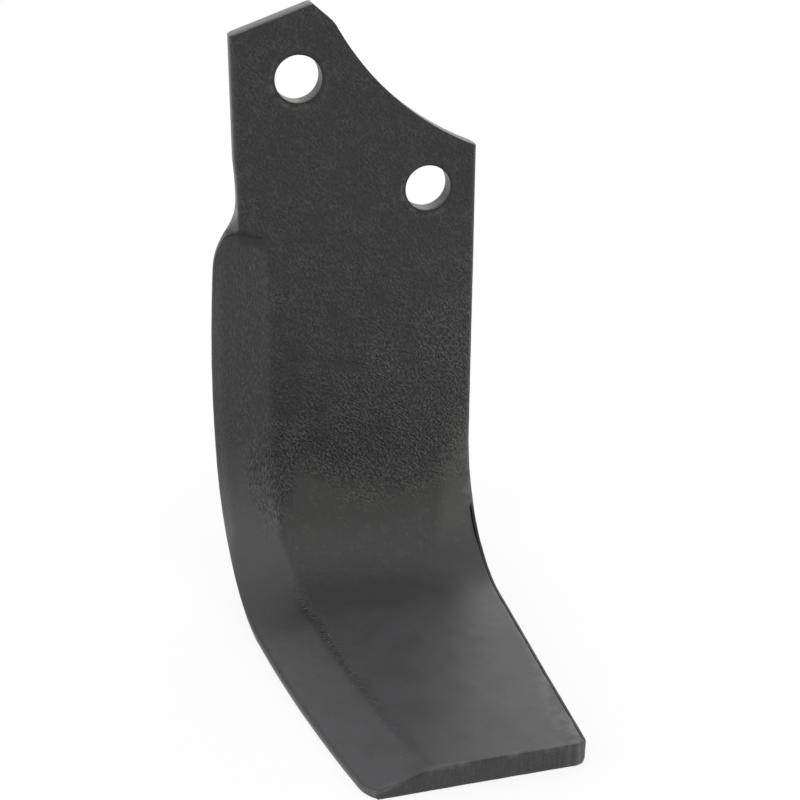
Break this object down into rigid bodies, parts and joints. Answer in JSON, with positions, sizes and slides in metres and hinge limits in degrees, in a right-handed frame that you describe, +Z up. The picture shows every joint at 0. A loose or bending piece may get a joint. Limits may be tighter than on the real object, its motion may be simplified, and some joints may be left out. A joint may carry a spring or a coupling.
{
  "type": "rotary tiller blade",
  "caption": "L-shaped rotary tiller blade: flat drilled shank, forged cutting edge along one side and a wing bent square to the front.",
  "frame": {"origin": "midway between the two bolt holes, on the mounting face", "axes": "+Z up the shank, +Y out of the mounting face, +X across the bar from the cutting edge to the plain edge; the wing reaches towards -Y"},
  "size_m": [0.0898, 0.1379, 0.2006],
  "materials": {
    "black_steel": "thin black coating over forged steel with light scale, satin"
  },
  "bodies": {
    "root": {"blade": "black_steel"}
  },
  "joints": []
}
